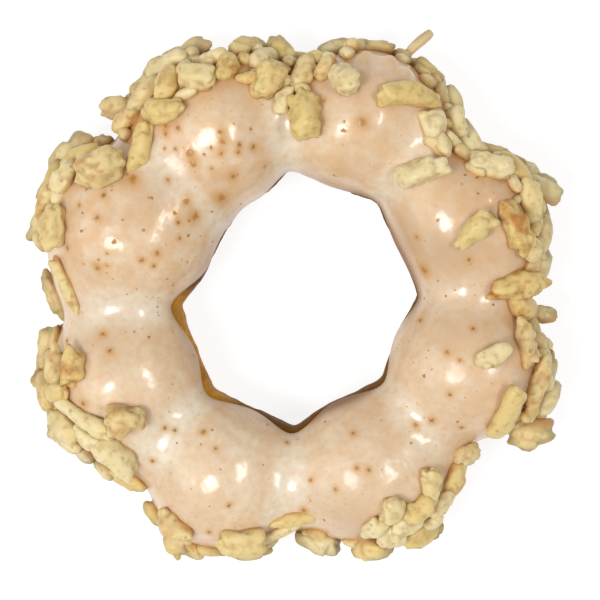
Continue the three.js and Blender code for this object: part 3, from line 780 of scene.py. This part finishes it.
def icing_points(settings):
    """Icing coat, as a closed section carried round the ring. Over the outside, its levels run from the
    wavy rim to the hole's edge, crowded at both ends, where a quarter ellipse rounds it down into the
    dough. Its back runs just under the dough's surface."""
    angle = np.linspace(0, FULL_TURN, settings.rows, endpoint=False)[:, None]
    rim = rim_level(angle)
    hole = hole_level(angle)
    share = (1 - np.cos(np.linspace(0, math.pi, settings.columns)))[None, :] / 2
    level = blend(rim, hole, share)
    over = iced(angle, level)
    walked = np.cumsum(np.linalg.norm(np.diff(over, axis=1, prepend=over[:, :1]), axis=-1), axis=1)
    edge = np.minimum(walked, walked[:, -1:] - walked)
    inside = 1 - np.clip(edge / settings.lip, 0, 1)
    tuck = ICING_TUCK - dough_offset(angle, level)
    offset = tuck * (np.sqrt(1 - inside * inside) - 1) + icing_set(over, settings) * (1 - inside)
    over = iced(angle, level, offset)
    back_level = blend(hole, rim, np.linspace(0, 1, ICING_BACK_POINTS + 2)[None, 1:-1])
    back = surface(angle, back_level, dough_offset(angle, back_level) - ICING_TUCK, DOUGH_CREASE)
    levels = np.concatenate([level, back_level], axis=1)
    edges = np.concatenate([edge, np.zeros(back.shape[:2])], axis=1)
    return np.concatenate([over, back], axis=1), angle, levels, edges


def icing_depths(points, angle, level, edge, settings):
    """How the icing has run, at each of its points. It pools in the creases, less to +X as painted shade,
    and is painted paler as light on the lower side and at the lit places. It is thinly iced along its
    edges, and painted darker as shade in the hole and down the flank. It is warm by the rice, painted
    darker as shade towards +X, painted warm as light off the golden hole side, and painted with shade among
    the rice."""
    crease = 1 - around("ball", angle, 0.5)
    thick = smooth_step(0.6, 1.0, crease + 0.16 * lattice_noise(points, 5.0, 5))
    # painted light: paler towards -Y and at the lit places
    low = smooth_step(*LIT_LOWER_SIDE, points[..., 1])
    # painted shade: darker and less pale towards +X
    far = smooth_step(*SHADED_RIGHT_SIDE, points[..., 0])
    pool = np.maximum(thick * (1 - 0.45 * far), 0.25 * low) * smooth_step(*POOL_LEVELS, level)
    # painted shade: darker towards the icing's edge in the hole and down the flank
    hole_shade = around("hole_shade", angle, EDGE_CREASE) * smooth_step(*HOLE_SHADE_LEVELS, level)
    turned = np.maximum(hole_shade, 0.75 * smooth_step(*SHADED_FLANK_LEVELS, level))
    above_rice = level - around("rice", angle, ICING_CREASE)
    # painted warm light off the golden hole side, and painted shade towards +X
    glow = smooth_step(*GLOW_STARTS, angle) * smooth_step(*GLOW_ENDS, angle)
    glow = glow * smooth_step(*GLOW_LEVELS, level)
    warm = np.maximum(0.8 * smooth_step(*WARM_RICE, above_rice), 0.25 * far)
    return {"pool": np.maximum(pool, icing_bells(points, PAINTED_LIGHT_PLACES, PAINTED_LIGHT_REACH)),
            "thin": np.maximum(np.exp(-edge / settings.lip), turned),
            "warm": np.maximum(warm, 0.35 * glow),
            # painted shade among the rice grains
            "rice_shade": smooth_step(*SHADED_AMONG_RICE, above_rice)}


def icing_stain(points, specks):
    """Stain round the large specks: a bell of each one's width, summed."""
    stain = np.zeros(points.shape[:-1])
    for place, width in specks:
        away = np.linalg.norm(points - place, axis=-1)
        stain += 0.9 * np.exp(-((away / (0.95 * width)) ** 2))
    return np.clip(stain, 0, 1)


def icing_material(settings):
    """Glossy set icing: tan where it is thinly iced along its edges, clouded, paler where it pools, stained
    round the spice, with fine crumbs in it, a skin that scatters light and a wet coat. Light is painted in
    as a paler colour on the lower side and at the lit places, and as warm colour off the golden hole side;
    shade is painted in as darker colour in the hole, down the flank, towards +X, at the shaded places and
    among the rice."""
    made = Nodes("set_icing", settings.crest)
    mottle = made.spread(made.noise(9, 2), 0.35, 0.7)
    clouds = made.spread(made.noise(3.0, 3), 0.38, 0.68)
    fine = made.spread(made.noise(1.2, 3), 0.4, 0.75)
    rice_shade_patches = made.times(made.attribute("rice_shade"), made.spread(made.noise(2.8, 2), 0.42, 0.6))
    thin = made.attribute("thin")
    made.layer(settings.blush, mottle, 0.7)
    # painted light: paler on the lower side and at the lit places, as well as pooled in the creases
    made.layer(settings.pool, "pool")
    made.layer(settings.pool, clouds, 0.55)
    # warm by the rice, painted shade towards +X and painted warm light off the golden hole side
    made.layer(settings.blush, "warm")
    # painted shade: a greyer tan at the shaded places
    made.layer(settings.dull, "dull")
    made.layer(settings.blush, fine, 0.45)
    # painted shade: orange-brown patches among the rice grains
    made.layer(settings.stain, rice_shade_patches, 0.8)
    made.layer(settings.stain, made.dots(1.5, 0.08, 0.2, 0.55, 0.6), 0.4)
    made.layer(settings.stain, "stain")
    # tan where the icing is thinly iced at its edges, and painted shade in the hole and down the flank
    made.layer(settings.edge, thin)
    swells = made.bump(made.noise(4.5, 2), 0.6, 0.2)
    glossy = made.spread(made.attribute("matt"), 0, 1, 1, 0)
    wet = made.times(made.spread(thin, 0, 0.6, 0.85, 0), glossy)
    dry = made.times(made.spread(mottle, 0, 1, 0.3, 0.42), made.times(thin, 0.4), "ADD")
    return made.shade(
        Roughness=dry, Specular_IOR_Level=0.3, Normal=made.bump(made.noise(1.6, 2), 0.15, 0.15, swells),
        Subsurface_Weight=0.12, Subsurface_Radius=(1.0, 0.62, 0.38), Subsurface_Scale=0.0016,
        Coat_Weight=wet, Coat_Roughness=0.17, Coat_Normal=made.bump(made.noise(3.2, 2), 0.5, 0.3))


class DOUGHNUT_OT_icing(bpy.types.Operator):
    """Add the icing coat"""

    bl_idname = "doughnut.icing"
    bl_label = "Icing"

    def execute(self, context):
        settings = context.scene.doughnut_icing
        points, angle, level, edge = icing_points(settings)
        attributes = {**icing_depths(points, angle, level, edge, settings),
                      # painted shade at the shaded places
                      "dull": icing_bells(points, PAINTED_SHADE_PLACES, PAINTED_SHADE_REACH),
                      "matt": icing_bells(points, MATT_PLACES, MATT_REACH),
                      "stain": icing_stain(points, marked_specks(settings))}
        faces = [ring_faces(*points.shape[:2])]
        mesh_piece("icing_coat", points, faces, icing_material(settings), "icing", attributes)
        return {"FINISHED"}


def seat_grain(place, outwards, long, lift, length, width):
    """Grain on the icing at a place: its long axis lies on the icing and is lifted at one end, with its
    lowest point sunk in the icing. Gives its middle, axes (long, side, up) and sizes along them."""
    side = np.cross(outwards, long)
    tip = np.radians(lift)
    long = long * np.cos(tip) + outwards * np.sin(tip)
    depth = width * GRAIN_DEPTH
    reach = np.hypot(length * np.sin(tip), depth * np.cos(tip)) / 2
    middle = place + outwards * (reach - GRAIN_SINK)
    return middle, np.array([long, side, np.cross(long, side)]), np.array([length, width, depth])


def marked_grain(x, y, turn, *rest):
    """Grain whose middle shows at x and y, and whose long axis shows at turn from +X."""
    place, outwards, _ = surface_frame(*where_shown(x, y, GRAIN_STAND))
    flat = np.array([math.cos(math.radians(turn)), math.sin(math.radians(turn)), 0])
    return seat_grain(place, outwards, unit(flat - outwards * (flat @ outwards)), *rest)


def drawn_grain(angle, level, turn, *rest):
    """Grain at a place on the iced surface, turned from the direction along the ring."""
    place, outwards, along = surface_frame(angle, level)
    turned = np.radians(turn)
    long = along * np.cos(turned) + np.cross(outwards, along) * np.sin(turned)
    return seat_grain(place, outwards, long, *rest)


def grain_draw(attempt, longest, shortest, tries):
    """Candidate grain of an even spread over the band that the rice covers: steps by the plastic number's
    inverse powers give its place, repeatable draws give its turn, lift and width."""
    angle = FULL_TURN * ((0.5 + attempt / PLASTIC_NUMBER) % 1)
    level = blend(GRAIN_FROM, STATIONS["rice"].max(), (0.5 + attempt / PLASTIC_NUMBER ** 2) % 1)
    length = blend(longest, shortest, (attempt % tries) / tries)
    width = length * blend(GRAIN_SLIM, GRAIN_STUBBY, chance(attempt, 3))
    return angle, level, 180 * chance(attempt, 1), GRAIN_LIFT * chance(attempt, 2) ** 2, length, width


def left_bare(angle, level, above):
    """Whether drawn grains leave a place bare: in a gap of the rim, or further up than the rice reaches."""
    in_gap = np.abs(angle - RIM_GAPS).min() < RIM_GAP
    return in_gap or level > around("rice", angle, ICING_CREASE) + above


def add_grains(grains, first, tries, longest, shortest, above, spacing):
    """Adds drawn grains, the largest first, wherever none that lies there is nearer than the spacing."""
    for attempt in range(first, first + tries):
        angle, level, *rest = grain_draw(attempt, longest, shortest, tries)
        if left_bare(angle, level, above):
            continue
        grain = drawn_grain(angle, level, *rest)
        middles = np.array([other[0] for other in grains])
        if np.linalg.norm(middles - grain[0], axis=-1).min() > spacing:
            grains.append(grain)


def all_grains(fillers):
    """Grains that stand out, large ones between them, and smaller ones in the gaps that are left."""
    grains = [marked_grain(*mark) for mark in MARKED_GRAINS]
    add_grains(grains, 0, GRAIN_TRIES, GRAIN_LONG, GRAIN_SHORT, 0, GRAIN_SPACING)
    add_grains(grains, GRAIN_TRIES, fillers, FILLER_LONG, FILLER_SHORT, FILLER_ABOVE, FILLER_SPACING)
    return grains


def grain_faces(sides, rings):
    """Faces of one grain: quads between its rings, and a fan of triangles round each end."""
    first = np.arange(sides)
    last = first + (rings - 1) * sides
    low = fan_faces(first, rings * sides)[:, [1, 0, 2]]
    return tube_faces(rings, sides), np.concatenate([low, fan_faces(last, rings * sides + 1)])


def rounded_size(value):
    """A number's size, rounded near zero by a hyperbola and a little less."""
    return np.sqrt(value * value + 0.012) - 0.04


def grain_points(grains, item, sides, rings, lump):
    """Puffed grains as whole arrays: rings of a blunt spindle along each grain's axis, swollen by the size
    of two noises, which makes round bulges with creases between them, then bent like a bean and tapered.
    Also gives what each point carries: its grain's tint, toast and coat, how deep it lies in a crease and
    how near it is to the grain's bottom, both painted as shade, the bottom only on uncoated grains, and how
    far it faces away from above, painted as shade low on the ring."""
    latitude = np.linspace(-1, 1, rings + 2)[1:-1] * math.pi / 2
    around_axis = np.linspace(0, 2 * math.pi, sides, endpoint=False)
    along = signed_power(np.sin(latitude), GRAIN_BLUNT)[:, None] * np.ones(sides)
    girth = np.cos(latitude)[:, None] ** GRAIN_ROUND
    local = np.stack([along, girth * np.cos(around_axis), girth * np.sin(around_axis)], axis=-1)
    local = np.concatenate([local.reshape(-1, 3), [[-1, 0, 0], [1, 0, 0]]])
    middles, axes, sizes = (np.array(part) for part in zip(*grains))
    sizes = sizes / 2
    shape = local[None] * sizes[:, None]
    seeded = shape + (GRAIN_APART * item)[:, None, None]
    broad = rounded_size(lattice_noise(seeded, PUFF_BROAD, 6))
    puff = blend(broad, rounded_size(lattice_noise(seeded, PUFF_FINE, 7)), PUFF_FINE_SHARE)
    lean = lattice_noise(seeded, PUFF_LEAN, 8)
    shape = shape * (1 + lump * (2.6 * puff - 0.55 + 0.5 * lean))[..., None]
    bend = blend(-GRAIN_BEND, GRAIN_BEND, chance(item, 11)) * sizes[:, 1]
    shape[..., 1] += bend[:, None] * (local[None, :, 0] ** 2 - 0.4)
    taper = blend(-GRAIN_TAPER, GRAIN_TAPER, chance(item, 12))
    shape[..., 1:] *= 1 + (taper[:, None] * local[None, :, 0])[..., None]
    points = middles[:, None] + np.einsum("gpk,gkx->gpx", shape, axes)
    even = np.ones(points.shape[:2])
    away = np.linalg.norm(middles[:, None, :2] - np.array(TOASTED_PLACES), axis=-1).min(axis=1)
    near_toasted = np.exp(-((away / TOASTED_REACH) ** 2))
    toast = np.maximum(0.6 * smooth_step(0.75, 1.0, chance(item, 14)), near_toasted)
    facing_up = unit(points - middles[:, None])[..., 2]
    attributes = {
        "tint": np.maximum(smooth_step(0.35, 1.0, chance(item, 13)), toast)[:, None] * even,
        "toast": toast[:, None] * even,
        "coat": smooth_step(0.5, 0.9, chance(item, 15))[:, None] * even,
        # painted shade: how deep a point lies in a crease, and how near it is to its grain's bottom
        "pit": smooth_step(0.2, 0.05, puff),
        "foot": smooth_step(1.6, 0.5, shape[..., 2] + sizes[:, 2:]),
        # painted shade: low sides that face away from above
        "side": smooth_step(0.85, 0.1, facing_up) * smooth_step(18, 11, points[..., 2]),
    }
    return points, attributes


def rice_material(settings):
    """Crisped rice: cream to golden by the grain, with toasted patches, darker pits, creases painted darker
    as shade, low sides painted darker as shade where they face away from above, dots of spice, a puffed
    skin, and a bottom painted darker as toasted shade, in the icing's colour instead where the icing has
    climbed it."""
    made = Nodes("crisped_rice", settings.pale)
    patches = made.spread(made.noise(2.4, 3), 0.42, 0.66)
    mottle = made.spread(made.noise(1.6, 2), 0.35, 0.7)
    pits = made.spread(made.noise(1.2, 2), 0.53, 0.7)
    # painted shade at the grains' bottoms, toasted, with the icing's colour instead where the icing has
    # climbed them
    foot = made.mix(made.attribute("coat"), settings.toast, settings.coat)
    made.layer(settings.gold, "tint")
    made.layer(settings.gold, mottle, 0.5)
    made.layer(settings.toast, made.times(patches, made.attribute("toast")))
    # painted shade in the grains' creases
    made.layer(settings.shade, "pit", 0.4)
    made.layer(settings.shade, pits, 0.32)
    # painted shade on low sides that face away from above
    made.layer(settings.side, "side", 0.75)
    made.layer(foot, "foot", 0.7)
    made.layer(settings.dust, made.dots(1.7, 0.1, 0.26, 0.74, 0.8), 0.45)
    skin = made.bump(made.noise(0.9, 2), 0.3, 0.2)
    blisters = made.bump(made.cells(1.5, "SMOOTH_F1").outputs["Distance"], 0.5, 0.25, skin)
    return made.shade(Roughness=made.spread(patches, 0, 1, 0.6, 0.45), Normal=blisters,
                      Subsurface_Weight=0.45, Subsurface_Radius=(0.8, 0.9, 1.0), Subsurface_Scale=0.0008)


class DOUGHNUT_OT_rice(bpy.types.Operator):
    """Add the crisped rice round the rim"""

    bl_idname = "doughnut.rice"
    bl_label = "Crisped rice"

    def execute(self, context):
        settings = context.scene.doughnut_rice
        grains = all_grains(settings.fillers)
        marked = np.arange(len(MARKED_GRAINS))
        drawn = np.arange(len(MARKED_GRAINS), len(grains))
        kinds = ((marked, (settings.sides, settings.rings), settings.lump),
                 (drawn, (settings.filler_sides, settings.filler_rings), FILLER_LUMP * settings.lump))
        points, faces, attributes = [], [], {}
        for item, detail, lump in kinds:
            made, carried = grain_points([grains[index] for index in item], item, *detail, lump)
            first = sum(map(len, points))
            faces += copied_faces(grain_faces(*detail), len(item), made.shape[1], first)
            points.append(made.reshape(-1, 3))
            for key, values in carried.items():
                attributes[key] = np.concatenate([attributes.get(key, np.zeros(0)), values.ravel()])
        points = np.concatenate(points)
        mesh_piece("crisped_rice", points, faces, rice_material(settings), "icing", attributes)
        return {"FINISHED"}


def marked_specks(settings):
    """Places on the icing and widths of the specks that stand out."""
    angle, level, width = shown_places(MARKED_SPECKS)
    return zip(on_icing(angle, level, settings), width)


def speck_spots(count):
    """Angles, levels and widths of all specks: those that stand out, then small ones spread over the icing
    and kept by a draw that favours the two upper left balls."""
    angle, level, width = shown_places(MARKED_SPECKS)
    item = np.arange(count)
    spread_angle = FULL_TURN * chance(item, 21)
    spread_level = blend(*SMALL_LEVELS, chance(item, 22))
    away = np.abs(np.mod(spread_angle - SMALL_MIDDLE + FULL_TURN / 2, FULL_TURN) - FULL_TURN / 2)
    kept = chance(item, 23) < blend(*SMALL_KEPT, smooth_step(*SMALL_NEAR, away))
    kept &= spread_level < hole_level(spread_angle) - SMALL_CLEAR
    spread_width = blend(*SMALL_WIDTHS, chance(item, 24) ** SMALL_RARITY)
    marked = np.stack([angle, level, SPECK_GROWTH * width])
    small = np.stack([spread_angle, spread_level, spread_width])[:, kept]
    return np.concatenate([marked, small], axis=1)


def speck_points(angle, level, width, icing):
    """Specks as whole arrays: two uneven rings of points round a low dome's top, laid on the icing. Also
    gives how far each point belongs to its speck's dark core."""
    item = np.arange(len(angle))
    place = on_icing(angle, level, icing)[:, None]
    _, outwards, along = surface_frame(angle, level)
    side = np.cross(outwards, along)
    up = (outwards * np.sqrt(width)[:, None])[:, None]
    turn = np.linspace(0, 2 * math.pi, SPECK_SIDES, endpoint=False)
    draws = [chance(item + 0.37 * step, 25) - 0.5 for step in range(SPECK_SIDES)]
    uneven = 1 + SPECK_UNEVEN * np.stack(draws, axis=-1)
    rings = []
    for share, height, _ in SPECK_RINGS:
        reach = share * uneven * width[:, None] / 2
        flat = along[:, None] * (reach * np.cos(turn))[..., None]
        flat += side[:, None] * (reach * np.sin(turn))[..., None]
        rings.append(place + flat + height * up)
    towards_top = np.append(np.repeat([dark for _, _, dark in SPECK_RINGS], SPECK_SIDES), 1.0)
    core = towards_top * smooth_step(0.2, 0.9, width)[:, None]
    return np.concatenate([*rings, place + SPECK_TOP * up], axis=1), core


def speck_faces():
    """Faces of one speck: quads from the outer to the inner ring and a fan round the top."""
    inner = np.arange(SPECK_SIDES) + SPECK_SIDES
    return tube_faces(2, SPECK_SIDES), fan_faces(inner, 2 * SPECK_SIDES)


def spice_material(settings):
    """Ground spice under a film of icing: dark to warm brown by the speck, and stained at its edge."""
    made = Nodes("ground_spice", settings.dark)
    grain = made.spread(made.noise(0.3, 2), 0.35, 0.7)
    made.layer(settings.warm, "warmth")
    made.layer(settings.dark, grain, 0.3)
    made.colour = made.mix(made.attribute("core"), settings.edge, made.colour)
    return made.shade(Roughness=made.spread(grain, 0, 1, 0.4, 0.6), Coat_Weight=0.15, Coat_Roughness=0.2)


class DOUGHNUT_OT_spice(bpy.types.Operator):
    """Add the spice specks in the icing"""

    bl_idname = "doughnut.spice"
    bl_label = "Spice specks"

    def execute(self, context):
        settings = context.scene.doughnut_spice
        angle, level, width = speck_spots(settings.count)
        points, core = speck_points(angle, level, width, context.scene.doughnut_icing)
        faces = copied_faces(speck_faces(), *points.shape[:2])
        warmth = smooth_step(0.3, 1.1, 0.6 * width + 0.6 * chance(np.arange(len(width)), 26))
        attributes = {"warmth": warmth[:, None] * np.ones(core.shape), "core": core}
        mesh_piece("spice_specks", points, faces, spice_material(settings), "icing", attributes)
        return {"FINISHED"}


def hang(name, data, lean, bearing, distance):
    """Camera or light at a lean from overhead, a bearing from +X and a distance, looking at the middle of
    the ring's waist with +Y up the picture."""
    axes = np.stack(view_axes(lean, bearing))
    place = np.array([*RING_CENTRE, WAIST]) * MM + axes[2] * distance
    hung = bpy.data.objects.new(name, data)
    bpy.context.scene.collection.objects.link(hung)
    hung.matrix_world = Matrix.Translation(place) @ Matrix(axes.T).to_4x4()
    return hung


def softbox(name, lean, bearing, distance, width, height, power):
    """Soft oval light."""
    light = bpy.data.lights.new(name, "AREA")
    light.shape = "ELLIPSE"
    light.size = width
    light.size_y = height
    light.energy = power
    hang(name, light, math.radians(lean), math.radians(bearing), distance)


def floor_material(settings):
    """Pale floor that glows a little, as a light table does."""
    made = Nodes("pale_floor", settings.floor)
    return made.shade(Roughness=0.8, Emission_Color=(1, 1, 1), Emission_Strength=FLOOR_GLOW)


class DOUGHNUT_OT_stage(bpy.types.Operator):
    """Add the floor, the lights and the camera"""

    bl_idname = "doughnut.stage"
    bl_label = "Stage"

    def execute(self, context):
        settings = context.scene.doughnut_stage
        scene = context.scene
        scene.view_settings.view_transform = "Standard"
        corners = [(x * FLOOR_HALF, y * FLOOR_HALF, 0) for x, y in ((-1, -1), (1, -1), (1, 1), (-1, 1))]
        floor_mesh = bpy.data.meshes.new("floor")
        floor_mesh.from_pydata(corners, [], [range(4)])
        floor_mesh.materials.append(floor_material(settings))
        floor = bpy.data.objects.new("floor", floor_mesh)
        floor.location.z = -FLOOR_DROP
        scene.collection.objects.link(floor)

        world = bpy.data.worlds.new("studio")
        world.use_nodes = True
        background = world.node_tree.nodes["Background"]
        background.inputs["Color"].default_value = (1, 1, 1, 1)
        background.inputs["Strength"].default_value = ROOM_LIGHT
        scene.world = world
        for box in SOFTBOXES:
            softbox(*box)

        camera = bpy.data.cameras.new("camera")
        camera.sensor_width = 36
        camera.lens = camera.sensor_width * settings.distance / settings.width
        camera.clip_start = 0.01
        scene.camera = hang("camera", camera, settings.tilt, settings.bearing, settings.distance)
        return {"FINISHED"}


class DOUGHNUT_PT_sidebar(bpy.types.Panel):
    """Doughnut pieces and their settings"""

    bl_label = "Mochi doughnut"
    bl_idname = "DOUGHNUT_PT_sidebar"
    bl_space_type = "VIEW_3D"
    bl_region_type = "UI"
    bl_category = "Doughnut"

    def draw(self, context):
        for key, (_, operator) in PIECES.items():
            box = self.layout.box()
            box.operator(operator.bl_idname)
            settings = getattr(context.scene, f"doughnut_{key}")
            for name in settings.bl_rna.properties.keys():
                if name not in ("rna_type", "name"):
                    box.prop(settings, name)


PIECES = {
    "dough": (DoughProperties, DOUGHNUT_OT_dough),
    "icing": (IcingProperties, DOUGHNUT_OT_icing),
    "rice": (RiceProperties, DOUGHNUT_OT_rice),
    "spice": (SpiceProperties, DOUGHNUT_OT_spice),
    "stage": (StageProperties, DOUGHNUT_OT_stage),
}
CLASSES = (*(kind for pair in PIECES.values() for kind in pair), DOUGHNUT_PT_sidebar)


def register():
    """Registers the classes and hangs each group of settings on the scene."""
    for kind in CLASSES:
        bpy.utils.register_class(kind)
    for key, (group, _) in PIECES.items():
        setattr(bpy.types.Scene, f"doughnut_{key}", PointerProperty(type=group))


def unregister():
    """Takes the settings off the scene and the classes out of Blender."""
    for key in PIECES:
        delattr(bpy.types.Scene, f"doughnut_{key}")
    for kind in reversed(CLASSES):
        bpy.utils.unregister_class(kind)


def main():
    """Builds the doughnut and its stage."""
    register()
    for key in PIECES:
        getattr(bpy.ops.doughnut, key)()


if __name__ == "__main__":
    main()
